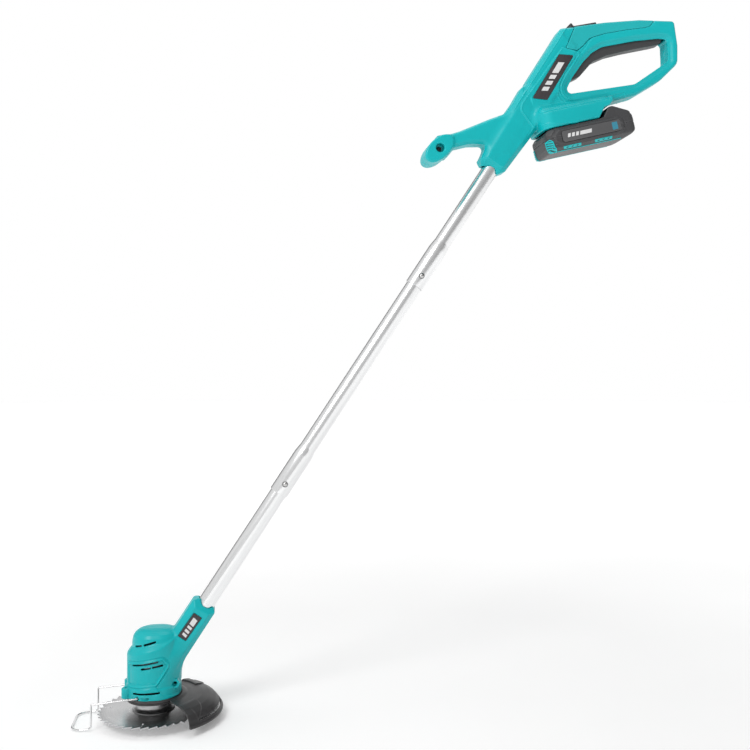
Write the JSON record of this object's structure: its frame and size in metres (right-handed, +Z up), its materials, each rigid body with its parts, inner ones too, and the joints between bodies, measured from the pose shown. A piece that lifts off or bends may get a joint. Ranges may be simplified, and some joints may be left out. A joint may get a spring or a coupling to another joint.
{
  "type": "lawn edger",
  "caption": "Cordless lawn edger: D-handle with trigger and slide-on battery, sectional aluminium shaft with snap buttons, motor head, saw blade, guard and swinging wire guard.",
  "frame": {"origin": "centre of the arbor bolt's lower end face, on the blade spindle axis", "axes": "+Z up along the blade spindle, +X towards the rear handle, +Y to the far side"},
  "size_m": [0.8186, 0.146, 0.9403],
  "materials": {
    "teal_shell": "satin moulded teal plastic",
    "grip_cover": "satin moulded teal plastic",
    "head_shell": "satin moulded teal plastic",
    "black_plastic": "fine texture",
    "trigger_black": "satin",
    "badge": "flat label, no lettering",
    "battery_grey": "fine texture",
    "battery_teal": "satin moulded teal plastic",
    "guard_black": "semi-gloss",
    "tube": "satin drawn tube",
    "bright_steel": "polished",
    "blade_steel": "ground and polished",
    "wire_steel": "zinc plated wire",
    "motor_steel": "zinc",
    "rotor": "laminations and copper",
    "cable": "pvc sheath",
    "board": "printed circuit board",
    "cell": "shrink sleeve",
    "screw": "plated"
  },
  "bodies": {
    "handle": {"handle_near": "teal_shell", "handle_far": "teal_shell", "grip_cover": "grip_cover", "handle_badge_near": "badge", "handle_badge_far": "badge", "shaft_upper": "tube", "shaft_middle": "tube", "shaft_lower": "tube", "cable_upper": "cable", "cable_middle": "cable", "cable_lower": "cable", "switch_body": "black_plastic", "control_board": "board", "terminal_block": "black_plastic", "trigger_pin": "screw", "trigger_spring": "screw", "handle_screw_1": "screw", "handle_screw_2": "screw", "handle_screw_3": "screw", "handle_screw_4": "screw", "pommel_screw": "screw", "button_spring_upper": "screw", "button_spring_lower": "screw", "head_near": "head_shell", "head_far": "head_shell", "head_badge_near": "badge", "head_badge_far": "badge", "head_screw": "screw", "guard": "guard_black", "motor_can": "motor_steel", "motor_end_cap": "black_plastic", "motor_mount_plate": "black_plastic"},
    "trigger": {"trigger": "trigger_black"},
    "plunger": {"switch_plunger": "black_plastic"},
    "lock_off": {"lock_slider": "black_plastic"},
    "battery": {"battery_case_lower": "battery_grey", "battery_case_upper": "battery_grey", "battery_label_near": "badge", "battery_label_far": "badge", "latch_spring": "screw", "cell_1": "cell", "cell_2": "cell", "cell_3": "cell", "cell_4": "cell", "cell_5": "cell"},
    "latch": {"battery_latch": "battery_teal"},
    "button_upper": {"snap_button_upper": "bright_steel"},
    "button_lower": {"snap_button_lower": "bright_steel"},
    "wire_guard": {"wire_guard": "wire_steel"},
    "spindle": {"motor_rotor": "rotor", "inner_flange": "bright_steel", "saw_blade": "blade_steel", "outer_flange": "bright_steel", "arbor_bolt": "bright_steel"}
  },
  "joints": [
    {"name": "trigger_pull", "type": "hinge", "parent": "handle", "child": "trigger", "pos_m": [0.691, 0, 0.921], "axis": [0, 1, 0], "range_deg": [0, 3.2], "stiffness_Nm_per_rad": 2.5, "springref_deg": -2.86, "deforming": ["trigger_spring"]},
    {"name": "plunger_press", "type": "slide", "parent": "handle", "child": "plunger", "axis": [-0.3206, 0, 0.9472], "range_m": [0, 0.0075]},
    {"name": "lock_off_slide", "type": "slide", "parent": "handle", "child": "lock_off", "axis": [-0.9816, 0, -0.1908], "range_m": [0, 0.005], "stiffness_N_per_m": 200, "springref_m": -0.004},
    {"name": "battery_slide", "type": "slide", "parent": "handle", "child": "battery", "axis": [0.9703, 0, 0.2419], "range_m": [0, 0.12]},
    {"name": "latch_press", "type": "slide", "parent": "battery", "child": "latch", "axis": [-0.9703, 0, -0.2419], "range_m": [0, 0.003], "stiffness_N_per_m": 400, "springref_m": -0.004, "deforming": ["latch_spring"]},
    {"name": "button_upper_press", "type": "slide", "parent": "handle", "child": "button_upper", "axis": [0, 1, 0], "range_m": [0, 0.0025], "stiffness_N_per_m": 500, "springref_m": -0.002, "deforming": ["button_spring_upper"]},
    {"name": "button_lower_press", "type": "slide", "parent": "handle", "child": "button_lower", "axis": [0, 1, 0], "range_m": [0, 0.0025], "stiffness_N_per_m": 500, "springref_m": -0.002, "deforming": ["button_spring_lower"]},
    {"name": "wire_guard_swing", "type": "hinge", "parent": "handle", "child": "wire_guard", "pos_m": [-0.0175, 0, 0.0365], "axis": [0, 1, 0], "range_deg": [0, 68]},
    {"name": "spindle_spin", "type": "hinge", "parent": "handle", "child": "spindle", "pos_m": [0, 0, 0.013], "axis": [0, 0, 1], "continuous": true}
  ],
  "couplings": [
    {"joint": "plunger_press", "follows": "trigger_pull", "m_per_rad": 0.1246}
  ]
}
